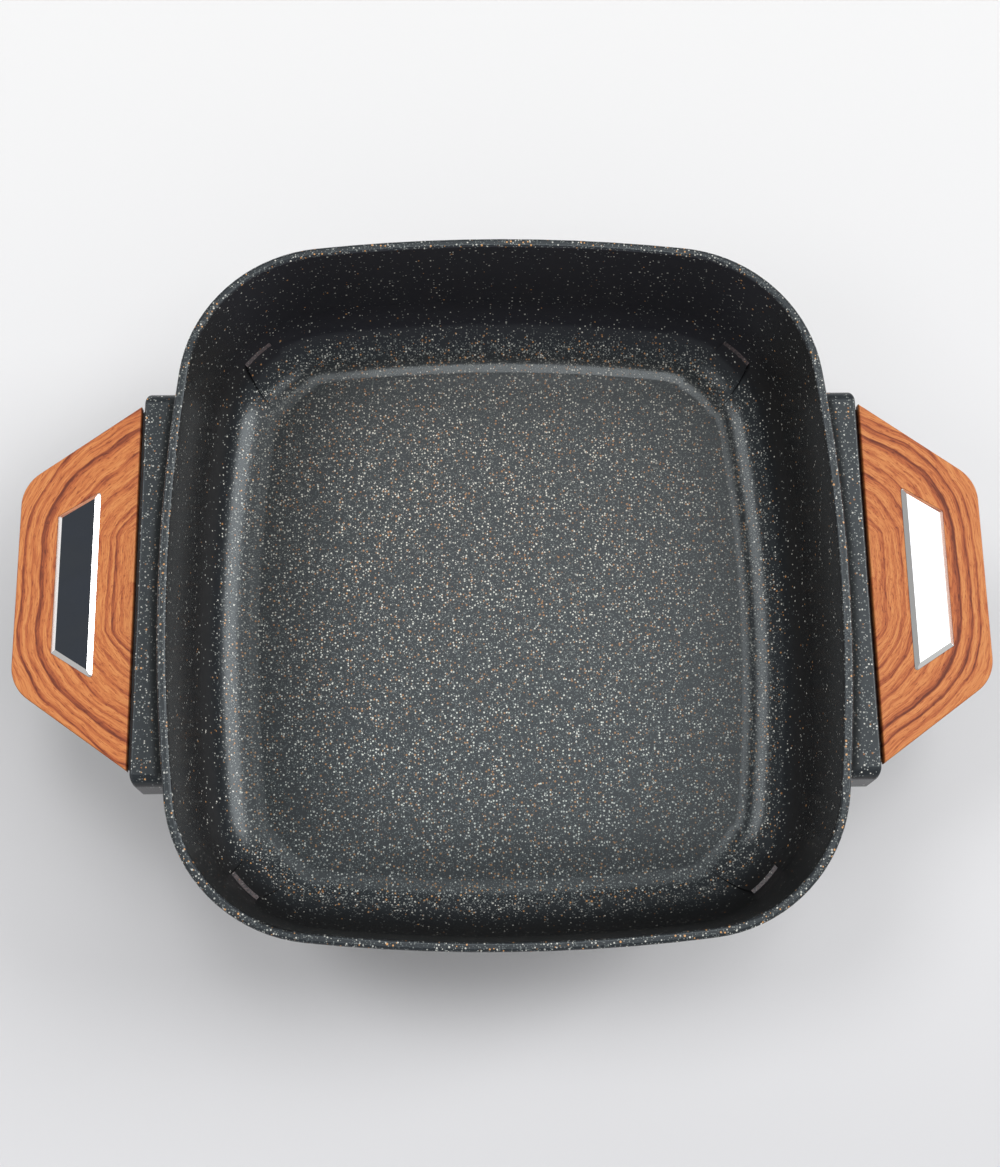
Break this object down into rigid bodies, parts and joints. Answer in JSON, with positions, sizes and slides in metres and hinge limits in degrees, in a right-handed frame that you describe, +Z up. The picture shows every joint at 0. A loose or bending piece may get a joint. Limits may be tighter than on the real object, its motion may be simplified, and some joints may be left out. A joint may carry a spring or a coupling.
{
  "type": "electric skillet",
  "caption": "Square deep electric skillet with a speckled cast pan, wood-grain side handles, an underside heating element, a rear control socket and rubber-footed legs.",
  "frame": {"origin": "on the countertop, under the middle of the pan", "axes": "+X to the right handle, +Y to the control socket at the back, +Z up"},
  "size_m": [0.4254, 0.3188, 0.114],
  "materials": {
    "stone_coating": "cast, dark speckled stone-look non-stick coating, satin",
    "element_sheath": "heat-tinted tube sheath",
    "contact_metal": "nickel plate",
    "white_ceramic": "unglazed",
    "screw_steel": "zinc plate",
    "black_core": "moulded phenolic, fine satin",
    "black_moulding": "moulded phenolic, fine grain",
    "wood_grain": "orange-brown with curved darker growth rings, sealed, satin",
    "polished_plate": "mirror polish",
    "black_rubber": "matt"
  },
  "bodies": {
    "root": {"front_left_foot": "black_rubber", "front_left_leg": "black_moulding", "front_right_foot": "black_rubber", "front_right_leg": "black_moulding", "heating_element": "element_sheath", "left_handle_core": "black_core", "left_handle_panel": "wood_grain", "left_handle_plate": "polished_plate", "left_handle_screws": "screw_steel", "left_handle_washers": "screw_steel", "left_panel_screws": "screw_steel", "left_terminal_insulator": "white_ceramic", "left_terminal_pin": "contact_metal", "leg_screws": "screw_steel", "leg_washers": "screw_steel", "pan_body": "stone_coating", "rear_left_foot": "black_rubber", "rear_left_leg": "black_moulding", "rear_right_foot": "black_rubber", "rear_right_leg": "black_moulding", "right_handle_core": "black_core", "right_handle_panel": "wood_grain", "right_handle_plate": "polished_plate", "right_handle_screws": "screw_steel", "right_handle_washers": "screw_steel", "right_panel_screws": "screw_steel", "right_terminal_insulator": "white_ceramic", "right_terminal_pin": "contact_metal", "socket_guard": "black_moulding", "socket_guard_screws": "screw_steel"}
  },
  "joints": []
}
